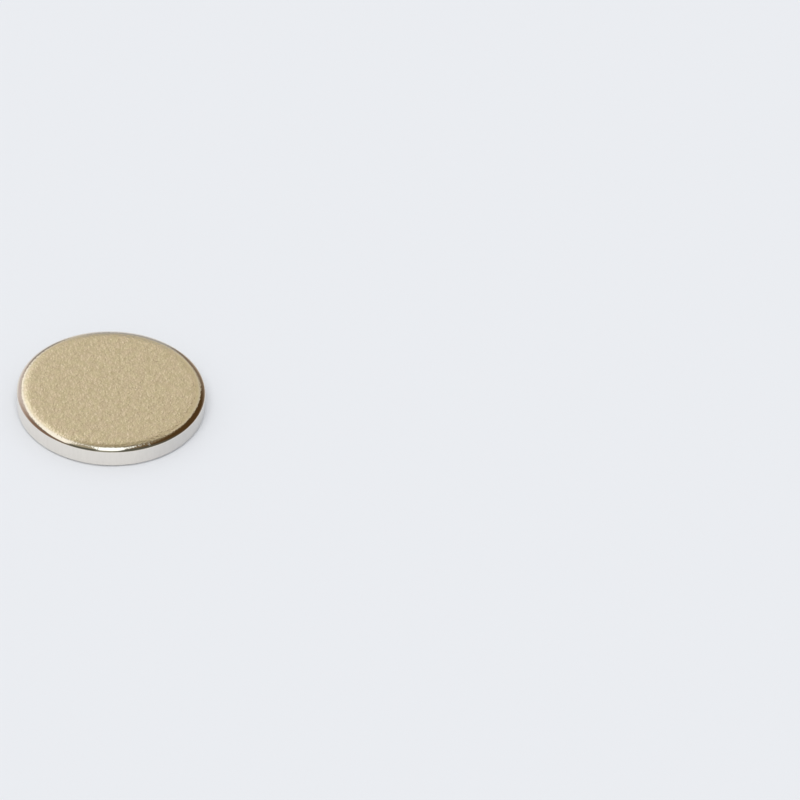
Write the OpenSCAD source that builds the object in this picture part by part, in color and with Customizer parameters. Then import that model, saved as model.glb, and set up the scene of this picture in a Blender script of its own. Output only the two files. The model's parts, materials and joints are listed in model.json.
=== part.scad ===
// Disc magnet
// A flat, round, plated magnet. It is one solid of revolution about Z: two ground faces, a
// straight side wall, and edges that tumbling has rolled over, so that each face falls away
// slowly at first and then turns sharply down into the wall.
// Origin: centre of the lower face. +Z is the magnetic axis.

/* [Disc] */
// Outside diameter of the side wall
disc_diameter = 8; // [3:0.1:60]
// Distance between the two flat faces
disc_thickness = 0.92; // [0.8:0.01:20]

/* [Rolled edges] */
// How far in from the side wall each flat face starts to fall away
edge_width = 0.6; // [0.05:0.01:1.2]
// How far below its face each rolled edge meets the side wall
edge_drop = 0.12; // [0.02:0.01:0.38]

/* [Finish] */
// Colour of the plated faces
plate_colour = "#C4B492";

/* [Hidden] */
$fn = 180;
disc_radius = disc_diameter / 2;
face_radius = disc_radius - edge_width;
wall_height = disc_thickness - 2 * edge_drop;

// Section of one rolled edge: an ellipse, centred where the flat face ends
module edge_section() {
    scale([edge_width, edge_drop]) circle(r = 1);
}

// Half of the disc's section, from the axis out to the side wall
module half_section() {
    square([face_radius, disc_thickness]);
    translate([0, edge_drop]) square([disc_radius, wall_height]);
    for (level = [edge_drop, disc_thickness - edge_drop])
        translate([face_radius, level]) edge_section();
}

module magnet_disc() {
    color(plate_colour) rotate_extrude() half_section();
}

magnet_disc();
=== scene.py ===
"""A small plated disc magnet lying on pale paper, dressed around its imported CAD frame.

Lengths are in metres unless a name ends in _MM, and angles are in degrees. The sun's direction
is given as azimuth, counted from +X towards +Y, and elevation above the paper.
"""

import json
import math

import bpy
from mathutils import Euler, Matrix, Vector


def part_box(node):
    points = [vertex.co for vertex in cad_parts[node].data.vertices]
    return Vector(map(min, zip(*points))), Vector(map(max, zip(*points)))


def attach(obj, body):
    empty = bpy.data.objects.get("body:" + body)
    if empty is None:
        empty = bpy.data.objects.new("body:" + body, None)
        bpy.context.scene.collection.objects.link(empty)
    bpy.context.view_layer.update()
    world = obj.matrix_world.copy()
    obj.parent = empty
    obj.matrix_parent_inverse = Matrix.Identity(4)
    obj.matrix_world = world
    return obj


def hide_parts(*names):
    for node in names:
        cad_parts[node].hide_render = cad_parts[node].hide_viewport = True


MM = 0.001

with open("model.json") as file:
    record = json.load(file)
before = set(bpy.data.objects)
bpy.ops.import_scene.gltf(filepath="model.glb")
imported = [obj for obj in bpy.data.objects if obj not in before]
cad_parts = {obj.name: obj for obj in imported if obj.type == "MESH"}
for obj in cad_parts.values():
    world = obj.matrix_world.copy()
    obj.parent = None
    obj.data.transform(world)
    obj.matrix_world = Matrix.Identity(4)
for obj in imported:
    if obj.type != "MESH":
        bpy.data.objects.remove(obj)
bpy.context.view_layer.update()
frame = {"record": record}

# ------------------------------------------------------------------ sizes, from the frame
MOUNTS = {m["name"]: m for m in frame["record"]["mounts"]}
DISC_LOW, DISC_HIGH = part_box("magnet_disc")
THICKNESS = DISC_HIGH[2] - DISC_LOW[2]
RADIUS = -DISC_LOW[0]
EDGE_DROP = (THICKNESS - MOUNTS["rim"]["dims"]["length_mm"] * MM) / 2
# The frame doesn't give the rolled edge's width; it is edge_width of part.scad.
EDGE_WIDTH = 0.6 * MM
# Only the outer part of the rolled edge is polished bright.
POLISHED_FROM_MM = (RADIUS - 0.25 * MM) / MM

# ------------------------------------------------------------------ mesh of the disc
SEGMENTS = 512
TOP_RINGS = 80
UNDER_RINGS = 24
EDGE_RINGS = 36
WALL_RINGS = 10


def rolled_edge():
    """Radius and height of the points of the upper rolled edge, from the flat face to the wall."""
    points = []
    for k in range(EDGE_RINGS + 1):
        turn = math.pi / 2 * (1 - k / EDGE_RINGS)
        points.append((
            RADIUS - EDGE_WIDTH * (1 - math.cos(turn)),
            THICKNESS - EDGE_DROP * (1 - math.sin(turn)),
        ))
    return points


def half_outline():
    """The disc's outline from the upper centre, round the edge, to the lower centre."""
    face_radius = RADIUS - EDGE_WIDTH
    top = [(face_radius * k / TOP_RINGS, THICKNESS) for k in range(1, TOP_RINGS)]
    under = [(face_radius * k / UNDER_RINGS, 0) for k in range(1, UNDER_RINGS)]
    edge = rolled_edge()
    wall_top = THICKNESS - EDGE_DROP
    step = (wall_top - EDGE_DROP) / WALL_RINGS
    wall = [(RADIUS, wall_top - step * k) for k in range(1, WALL_RINGS)]
    lower = [(r, THICKNESS - z) for r, z in reversed(edge)]
    return top + edge + wall + lower + under[::-1]


def turned_points(outline):
    """The outline turned about the axis, ring after ring, between the two centre points."""
    points = [Vector((0, 0, THICKNESS))]
    for r, z in outline:
        for k in range(SEGMENTS):
            turn = 2 * math.pi * k / SEGMENTS
            points.append(Vector((r * math.cos(turn), r * math.sin(turn), z)))
    points.append(Vector((0, 0, 0)))
    return points


def turned_faces(ring_count):
    """Faces between the rings and round the two centre points, one sector after another."""
    faces = []
    last_ring = 1 + (ring_count - 1) * SEGMENTS
    last_point = last_ring + SEGMENTS
    for k in range(SEGMENTS):
        after = (k + 1) % SEGMENTS
        faces.append((0, 1 + k, 1 + after))
        for ring in range(ring_count - 1):
            upper = 1 + ring * SEGMENTS
            lower = upper + SEGMENTS
            faces.append((upper + k, lower + k, lower + after, upper + after))
        faces.append((last_ring + k, last_point, last_ring + after))
    return faces


def make_disc():
    outline = half_outline()
    mesh = bpy.data.meshes.new("disc")
    mesh.from_pydata(turned_points(outline), [], turned_faces(len(outline)))
    mesh.polygons.foreach_set("use_smooth", [True] * len(mesh.polygons))
    mesh.update()
    disc = bpy.data.objects.new("disc", mesh)
    bpy.context.scene.collection.objects.link(disc)
    return disc


# ------------------------------------------------------------------ node helpers
# A cell's border lies this share of a cell's size from its middle, and a spot's even core is this
# share of its size.
CELL_BORDER = 0.75
SPOT_CORE = 0.3


def feed(tree, socket, value):
    """Sets an input to a value, or links it to another node's output."""
    if isinstance(value, bpy.types.NodeSocket):
        tree.links.new(value, socket)
    else:
        socket.default_value = value


def add(tree, kind, inputs, **settings):
    """A new node with its settings, and its inputs fed by name or number."""
    node = tree.nodes.new(kind)
    for name, value in settings.items():
        setattr(node, name, value)
    for key, value in inputs.items():
        feed(tree, node.inputs[key], value)
    return node


def calc(tree, operation, *values):
    node = add(tree, "ShaderNodeMath", dict(enumerate(values)), operation=operation)
    return node.outputs[0]


def vector_calc(tree, operation, *values, output="Vector"):
    node = add(tree, "ShaderNodeVectorMath", dict(enumerate(values)), operation=operation)
    return node.outputs[output]


def separate(tree, vector):
    return add(tree, "ShaderNodeSeparateXYZ", {0: vector}).outputs


def ramp(tree, value, low, high, to_low=0.0, to_high=1.0):
    """Smooth step of value: to_low at low and to_high at high."""
    inputs = {"Value": value, "From Min": low, "From Max": high, "To Min": to_low, "To Max": to_high}
    return add(tree, "ShaderNodeMapRange", inputs, interpolation_type="SMOOTHSTEP").outputs[0]


def mix_colour(tree, factor, a, b, blend="MIX"):
    node = tree.nodes.new("ShaderNodeMix")
    node.data_type = "RGBA"
    node.blend_type = blend
    sockets = [s for s in node.inputs if s.enabled]
    for socket, value in zip(sockets, (factor, a, b)):
        feed(tree, socket, value)
    return next(s for s in node.outputs if s.enabled)


def cloud(tree, place, noise):
    """Soft random pattern, 0 to 1; noise is its size in millimetres, detail and roughness."""
    size_mm, detail, roughness = noise
    inputs = {"Vector": place, "Scale": 1 / size_mm, "Detail": detail, "Roughness": roughness}
    return add(tree, "ShaderNodeTexNoise", inputs).outputs["Fac"]


def centred_cloud(tree, place, noise):
    return calc(tree, "SUBTRACT", cloud(tree, place, noise), 0.5)


def cells(tree, place, size_mm):
    """Random grains, 1 at their middles and 0 at their borders, about size_mm apart."""
    inputs = {"Vector": place, "Scale": 1 / size_mm}
    from_middle = add(tree, "ShaderNodeTexVoronoi", inputs).outputs["Distance"]
    return ramp(tree, from_middle, CELL_BORDER, 0.0)


def spots(tree, place, spot_list):
    """1 on the small round spots (x, y, size) of the list, in millimetres, and 0 away from them."""
    share = 0.0
    for x, y, size in spot_list:
        away = vector_calc(tree, "DISTANCE", place, (x, y, 0), output="Value")
        share = calc(tree, "MAXIMUM", ramp(tree, away, size, size * SPOT_CORE), share)
    return share


def clean_tree(owner):
    owner.use_nodes = True
    owner.node_tree.nodes.clear()
    return owner.node_tree


def opaque(colour):
    return tuple(colour) + (1,)


def show(tree, kind, shader):
    """Ends a tree in its output node."""
    add(tree, kind, {"Surface": shader.outputs[0]})


# ------------------------------------------------------------------ nickel plating
# A noise is its size in millimetres, its detail and its roughness.

# Colours of the matte face, the polished edge and the wall's right side, whose darker colour is
# painted shade.
MATTE_NICKEL = Vector((0.836, 0.763, 0.612))
BRIGHT_NICKEL = (0.885, 0.845, 0.780)
WALL_SHADE_NICKEL = (0.70, 0.68, 0.65)
MATTE_ROUGHNESS = 0.22
BRIGHT_ROUGHNESS = 0.06
# The change from matte to polished, measured from the start of the polished ring.
SMOOTH_START_MM = -0.36
COLOUR_START_MM = -0.10
CHANGE_END_MM = 0.06
RAGGED_MM = 0.07
RAGGED_NOISE = (0.12, 3.0, 0.5)
# Blasted grain of the matte face: soft noise and cells, with broader clouds over them.
GRAIN_NOISE = (0.165, 3.0, 0.7)
GRAIN_RANGE = (0.25, 0.75)
CELL_SIZE_MM = 0.125
CELL_SHARE = 0.35
BROAD_NOISE = (0.30, 2.0, 0.6)
BROAD_SHARE = 0.8
GRAIN_STRETCH = 0.8
GRAIN_DEPTH_MM = 0.0100
# Painted glints and shade of the grain: its peaks are painted lighter than the matte face by this,
# and its hollows darker.
GRAIN_GLINT_AND_SHADE = Vector((0.080, 0.075, 0.070))
HUE_NOISE = (0.45, 2.0, 0.6)
HUE_RANGE = (0.35, 0.65)
ROSY = (1.01, 0.99, 1.01, 1)
YELLOWISH = (0.99, 1.00, 0.97, 1)
# Two small dark spots on the face: painted shade of pits.
PIT_SHADE = (0.40, 0.34, 0.27, 1)
PIT_SHADE_SHARE = 0.5
PIT_SHADE_LIST = [(1.80, 2.00, 0.08), (2.335, -1.79, 0.05)]
# Tumbling marks of the polished edge, deepest at its inner side, and one small pit in it.
RIPPLE_NOISE = (0.10, 2.0, 0.5)
RIPPLE_WIDTH_MM = 0.20
RIPPLE_DEPTH_MM = 0.006
RIPPLE_LEFT_MM = 0.0006
PIT = (1.0, 0.98, 0.93, 1)
PIT_ROUGHNESS = 0.55
PIT_LIST = [(1.85, -3.41, 0.07)]
# The wall: painted shade, darker from the middle to its right where it mirrors the paper in the
# disc's shadow, with upright streaks.
WALL_BLEND_MM = 0.05
WALL_SHADE_START_MM = 0.4
WALL_SHADE_FULL_MM = 3.6
STREAK_NOISE = (0.12, 4.0, 0.8)
STREAK_RANGE = (0.3, 0.7)
STREAK_SQUEEZE = 0.15
STREAK_DARK = 0.05
BLACK = (0, 0, 0, 1)


def matte_grain(tree, place):
    long_place = vector_calc(tree, "MULTIPLY", place, (1, GRAIN_STRETCH, 1))
    soft = ramp(tree, cloud(tree, long_place, GRAIN_NOISE), *GRAIN_RANGE)
    soft = calc(tree, "MULTIPLY", soft, 1 - CELL_SHARE)
    grain = calc(tree, "MULTIPLY_ADD", cells(tree, long_place, CELL_SIZE_MM), CELL_SHARE, soft)
    broad = centred_cloud(tree, long_place, BROAD_NOISE)
    return calc(tree, "MULTIPLY_ADD", broad, BROAD_SHARE, grain)


def matte_colour(tree, place, flat_place, grain):
    # Painted glints and shade: the grain's peaks lighter, its hollows darker.
    colour = mix_colour(tree, grain, opaque(MATTE_NICKEL - GRAIN_GLINT_AND_SHADE), opaque(MATTE_NICKEL + GRAIN_GLINT_AND_SHADE))
    hue = ramp(tree, cloud(tree, place, HUE_NOISE), *HUE_RANGE)
    tint = mix_colour(tree, hue, ROSY, YELLOWISH)
    colour = mix_colour(tree, 1.0, colour, tint, "MULTIPLY")
    # Painted shade of the pits.
    pit_shade = calc(tree, "MULTIPLY", spots(tree, flat_place, PIT_SHADE_LIST), PIT_SHADE_SHARE)
    return mix_colour(tree, pit_shade, colour, PIT_SHADE)


def plated_colour(tree, place):
    x, y, z = separate(tree, place)
    wall_top = (THICKNESS - EDGE_DROP) / MM
    wall = ramp(tree, z, wall_top + WALL_BLEND_MM, wall_top - WALL_BLEND_MM)
    # Painted shade: the wall darkens towards its right, where it mirrors the shadowed paper.
    painted_shade = calc(tree, "MULTIPLY", ramp(tree, x, WALL_SHADE_START_MM, WALL_SHADE_FULL_MM), wall)
    colour = mix_colour(tree, painted_shade, opaque(BRIGHT_NICKEL), opaque(WALL_SHADE_NICKEL))
    upright = vector_calc(tree, "MULTIPLY", place, (1, 1, STREAK_SQUEEZE))
    streak = ramp(tree, cloud(tree, upright, STREAK_NOISE), *STREAK_RANGE, STREAK_DARK, 0.0)
    return mix_colour(tree, streak, colour, BLACK)


def polish_shares(tree, place, radius):
    """How bright in colour and how smooth the metal is there: 0 as the face, 1 as the edge."""
    ragged = centred_cloud(tree, place, RAGGED_NOISE)
    ragged_radius = calc(tree, "MULTIPLY_ADD", ragged, RAGGED_MM, radius)
    change_end = POLISHED_FROM_MM + CHANGE_END_MM
    bright = ramp(tree, ragged_radius, POLISHED_FROM_MM + COLOUR_START_MM, change_end)
    smooth = ramp(tree, ragged_radius, POLISHED_FROM_MM + SMOOTH_START_MM, change_end)
    return bright, smooth


def ripple_height(tree, place, radius):
    ripple_end = POLISHED_FROM_MM + RIPPLE_WIDTH_MM
    depth = ramp(tree, radius, POLISHED_FROM_MM, ripple_end, RIPPLE_DEPTH_MM, RIPPLE_LEFT_MM)
    return calc(tree, "MULTIPLY", cloud(tree, place, RIPPLE_NOISE), depth)


def nickel_plate():
    material = bpy.data.materials.new("nickel_plate")
    tree = clean_tree(material)
    object_place = tree.nodes.new("ShaderNodeTexCoord").outputs["Object"]
    place = vector_calc(tree, "MULTIPLY", object_place, (1 / MM, 1 / MM, 1 / MM))
    flat_place = vector_calc(tree, "MULTIPLY", place, (1, 1, 0))
    radius = vector_calc(tree, "LENGTH", flat_place, output="Value")
    bright, smooth = polish_shares(tree, place, radius)
    pit = spots(tree, flat_place, PIT_LIST)
    grain = matte_grain(tree, place)

    matte = matte_colour(tree, place, flat_place, grain)
    colour = mix_colour(tree, bright, matte, plated_colour(tree, place))
    colour = mix_colour(tree, pit, colour, PIT)
    roughness = ramp(tree, smooth, 0, 1, MATTE_ROUGHNESS, BRIGHT_ROUGHNESS)
    roughness = calc(tree, "MULTIPLY_ADD", pit, PIT_ROUGHNESS, roughness)
    grain_height = calc(tree, "MULTIPLY", grain, ramp(tree, smooth, 0, 1, GRAIN_DEPTH_MM, 0))
    height = calc(tree, "MULTIPLY_ADD", ripple_height(tree, place, radius), bright, grain_height)
    bump = add(tree, "ShaderNodeBump", {"Height": height, "Distance": MM, "Strength": 1.0})
    shader = add(tree, "ShaderNodeBsdfPrincipled", {
        "Base Color": colour,
        "Metallic": 1.0,
        "Roughness": roughness,
        "Normal": bump.outputs[0],
    })
    show(tree, "ShaderNodeOutputMaterial", shader)
    return material


# ------------------------------------------------------------------ paper
FLOOR_RADIUS = 0.4
FLOOR_SIDES = 96
PAPER = (0.826, 0.845, 0.880)
# The share of the paper's look that is its plain colour, whatever light falls on it.
PAPER_EVEN = 0.05


def paper_material():
    material = bpy.data.materials.new("paper")
    tree = clean_tree(material)
    path = tree.nodes.new("ShaderNodeLightPath")
    seen = calc(tree, "MAXIMUM", path.outputs["Is Camera Ray"], path.outputs["Is Glossy Ray"])
    seen = calc(tree, "MAXIMUM", seen, path.outputs["Is Transmission Ray"])
    lit = add(tree, "ShaderNodeBsdfDiffuse", {"Color": opaque(PAPER)})
    even = add(tree, "ShaderNodeEmission", {"Color": opaque(PAPER), "Strength": 1.0})
    share = calc(tree, "MULTIPLY", seen, PAPER_EVEN)
    shader = add(tree, "ShaderNodeMixShader", {0: share, 1: lit.outputs[0], 2: even.outputs[0]})
    show(tree, "ShaderNodeOutputMaterial", shader)
    return material


def make_floor():
    bpy.ops.mesh.primitive_circle_add(
        vertices=FLOOR_SIDES,
        radius=FLOOR_RADIUS,
        fill_type="NGON",
    )
    floor = bpy.context.object
    floor.name = "floor"
    floor.data.materials.append(paper_material())


# ------------------------------------------------------------------ light on the paper
# The sun's share of the light on the paper; the even light of the room gives the rest.
SUN_SHARE = 0.38
SUN_AZIMUTH = -101
SUN_ELEVATION = 66
SUN_ANGLE = 45


def direction(azimuth, elevation):
    a, e = math.radians(azimuth), math.radians(elevation)
    return Vector((math.cos(a) * math.cos(e), math.sin(a) * math.cos(e), math.sin(e)))


def overhead_sun():
    """A wide soft light from the front, which makes the disc's shadow on the paper."""
    lamp = bpy.data.lights.new("overhead", "SUN")
    lamp.energy = math.pi * SUN_SHARE / math.sin(math.radians(SUN_ELEVATION))
    lamp.angle = math.radians(SUN_ANGLE)
    sun = bpy.data.objects.new("overhead", lamp)
    sun.rotation_euler = direction(SUN_AZIMUTH, SUN_ELEVATION).to_track_quat("Z", "Y").to_euler()
    sun.visible_glossy = False
    bpy.context.scene.collection.objects.link(sun)


# ------------------------------------------------------------------ room that the plating mirrors
ROOM = (0.108, 0.108, 0.086)
ROOM_LOW = (0.52, 0.47, 0.39)
FRONT_LOW = (0.62, 0.56, 0.45)
FRONT_FILL = (0.34, 0.33, 0.26)
FRONT_LINK = (0.38, 0.33, 0.23)
RIGHT_EDGE = (0.215, 0.160, 0.090)
RIGHT_BROWN = (0.080, 0.042, 0.015)
RIGHT_BACK = (0.20, 0.145, 0.100)
RIGHT_LOW = (0.42, 0.34, 0.27)
LEFT_MAUVE = (0.235, 0.150, 0.105)
LEFT_PALE = (0.47, 0.37, 0.31)
LEFT_WHITE = (0.62, 0.54, 0.51)
LEFT_LINE = (0.30, 0.27, 0.25)
BACKDROP = (0.68, 0.61, 0.47)
BACK_RIGHT = (0.61, 0.555, 0.425)
BACK_LINE = (0.41, 0.395, 0.375)
LOW_WHITE = (0.80, 0.79, 0.78)
WINDOW = (1.11, 1.06, 0.95)
STRIP = (1.40, 1.45, 1.42)
X, Y, Z = (1, 0, 0), (0, 1, 0), (0, 0, 1)
LEFT = (-1, 0, 0)
RIGHT_AND_UP = (1, 0, 1)
# The room as patches of colour, later ones over earlier ones. A patch is its colour and its limits.
# A limit is a direction, start and full: along that direction the patch starts where the line of
# sight's share (a dot product) is start, and is full where it is full.
PATCH_LIST = [
    # Pale lower room, which the face mirrors in views from the sides and from behind.
    (ROOM_LOW, [(Z, 0.44, 0.30)]),
    (FRONT_LOW, [(Y, -0.30, -0.50), (Z, 0.60, 0.46)]),
    # Front and right of the room overhead, mirrored by the front edge beside its highlights.
    (FRONT_FILL, [(X, -0.20, -0.08), (X, 0.14, 0.04), (Y, 0.0, -0.2)]),
    (RIGHT_EDGE, [(X, 0.02, 0.08), (Y, 0.20, 0.36)]),
    (FRONT_LINK, [
        (LEFT, 0.28, 0.20),
        (LEFT, -0.09, 0.05),
        ((-1, 0.5, 0), 0.44, 0.40),
        (Y, 0.12, 0.27),
        (Y, 0.68, 0.60),
    ]),
    # Warm backdrop, mirrored by the face and the rear edge.
    (BACKDROP, [
        (LEFT, 0.36, 0.26),
        ((1, -0.6, 0), -0.235, -0.275),
        ((0.5, -1, 0), -0.575, -0.62),
        (Y, 0.60, 0.66),
    ]),
    (BACKDROP, [(LEFT, 0.36, 0.26), (LEFT, 0.08, 0.11), ((-1, 1, 0), 0.66, 0.72)]),
    (BACK_RIGHT, [(X, 0.04, 0.12), ((1, -0.6, 0), -0.235, -0.275), (Y, 0.60, 0.66)]),
    (BACK_LINE, [(Y, 0.6, 0.8), (Z, 0.54, 0.42), (X, -0.16, -0.08)]),
    # Dark brown right side, paler lower down, mirrored by the right edge.
    (RIGHT_BROWN, [(X, 0.10, 0.23), ((1, -0.6, 0), -0.275, -0.235), (Y, 0.0, 0.4)]),
    (RIGHT_BACK, [(X, 0.07, 0.15), (Y, -0.25, 0.15), (Z, 0.62, 0.45)]),
    (RIGHT_LOW, [(X, 0.12, 0.24), (Y, -0.1, 0.3), (Z, 0.44, 0.28)]),
    # Left side: a mauve line, a dark line, and pale and white parts, mirrored by the left edge.
    (LEFT_MAUVE, [(LEFT, 0.34, 0.46), (Y, -0.40, 0.0), (Z, 0.32, 0.44)]),
    (LEFT_LINE, [(RIGHT_AND_UP, 0.22, 0.16), (Y, 0.68, 0.78), (LEFT, 0.14, 0.20)]),
    (LEFT_PALE, [(LEFT, 0.28, 0.36), (Y, 0.42, 0.63)]),
    (LEFT_PALE, [(LEFT, 0.40, 0.60), (Z, 0.72, 0.58), (Y, 0.10, 0.36)]),
    (LEFT_WHITE, [(LEFT, 0.30, 0.36), (Y, 0.56, 0.70)]),
    (LEFT_WHITE, [(LEFT, 0.42, 0.60), (Z, 0.62, 0.45), (Y, 0.30, 0.50)]),
    # White just above the paper, behind the disc.
    (LOW_WHITE, [(RIGHT_AND_UP, 0.02, -0.10), (Y, 0.60, 0.74), (LEFT, 0.12, 0.20)]),
    (LOW_WHITE, [(Y, 0.60, 0.80), (Z, 0.23, 0.16)]),
    # The two lights: a window in the left edge's highlight and a strip in the front edge's.
    (WINDOW, [
        (RIGHT_AND_UP, 0.21, 0.25),
        (LEFT, 0.39, 0.34),
        (LEFT, 0.112, 0.142),
        ((-1, 0.2, 0), 0.475, 0.42),
        ((-1, -0.42, 0), -0.22, -0.08),
        ((-1.7, 1, 0), 0.645, 0.735),
    ]),
    (STRIP, [(X, -0.105, -0.078), (X, 0.088, 0.048), (Y, -0.04, 0.12), (Y, 0.55, 0.42)]),
    # The paper itself, mirrored by the wall.
    (PAPER, [(Z, 0.10, 0.03)]),
]


def room_colour(tree, toward):
    colour = opaque(ROOM)
    for patch_colour, limits in PATCH_LIST:
        share = 1.0
        for along, start, full in limits:
            reach = vector_calc(tree, "DOT_PRODUCT", toward, along, output="Value")
            share = calc(tree, "MULTIPLY", ramp(tree, reach, start, full), share)
        colour = mix_colour(tree, share, colour, opaque(patch_colour))
    return colour


def make_world():
    """The room as the plating mirrors it; its light on the paper is even, and what the sun leaves."""
    world = bpy.data.worlds.new("studio")
    bpy.context.scene.world = world
    tree = clean_tree(world)
    toward = tree.nodes.new("ShaderNodeTexCoord").outputs["Generated"]
    path = tree.nodes.new("ShaderNodeLightPath")
    on_paper = calc(tree, "GREATER_THAN", path.outputs["Diffuse Depth"], 0.5)
    even = 1 - SUN_SHARE
    light = mix_colour(tree, on_paper, room_colour(tree, toward), (even, even, even, 1))
    background = add(tree, "ShaderNodeBackground", {"Color": light, "Strength": 1.0})
    show(tree, "ShaderNodeOutputWorld", background)


# ------------------------------------------------------------------ camera
CAMERA_PLACE = Vector((12.252, -213.373, 180.527)) * MM
CAMERA_PITCH = 40.042
CAMERA_ROLL = 3.21
CAMERA_LENS = 296.0
CAMERA_NEAR = 0.01
CAMERA_FAR = 10


def make_camera():
    data = bpy.data.cameras.new("camera")
    data.lens = CAMERA_LENS
    data.clip_start = CAMERA_NEAR
    data.clip_end = CAMERA_FAR
    camera = bpy.data.objects.new("camera", data)
    camera.location = CAMERA_PLACE
    tilt = Euler((math.radians(90 - CAMERA_PITCH), 0, 0)).to_matrix()
    roll = Matrix.Rotation(math.radians(CAMERA_ROLL), 3, "Z")
    camera.rotation_euler = (tilt @ roll).to_euler()
    bpy.context.scene.collection.objects.link(camera)
    bpy.context.scene.camera = camera


# ------------------------------------------------------------------ build
make_camera()
make_floor()
make_world()
overhead_sun()

disc = make_disc()
disc.data.materials.append(nickel_plate())
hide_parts("magnet_disc")
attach(disc, "root")

bpy.context.scene.view_settings.view_transform = "Standard"
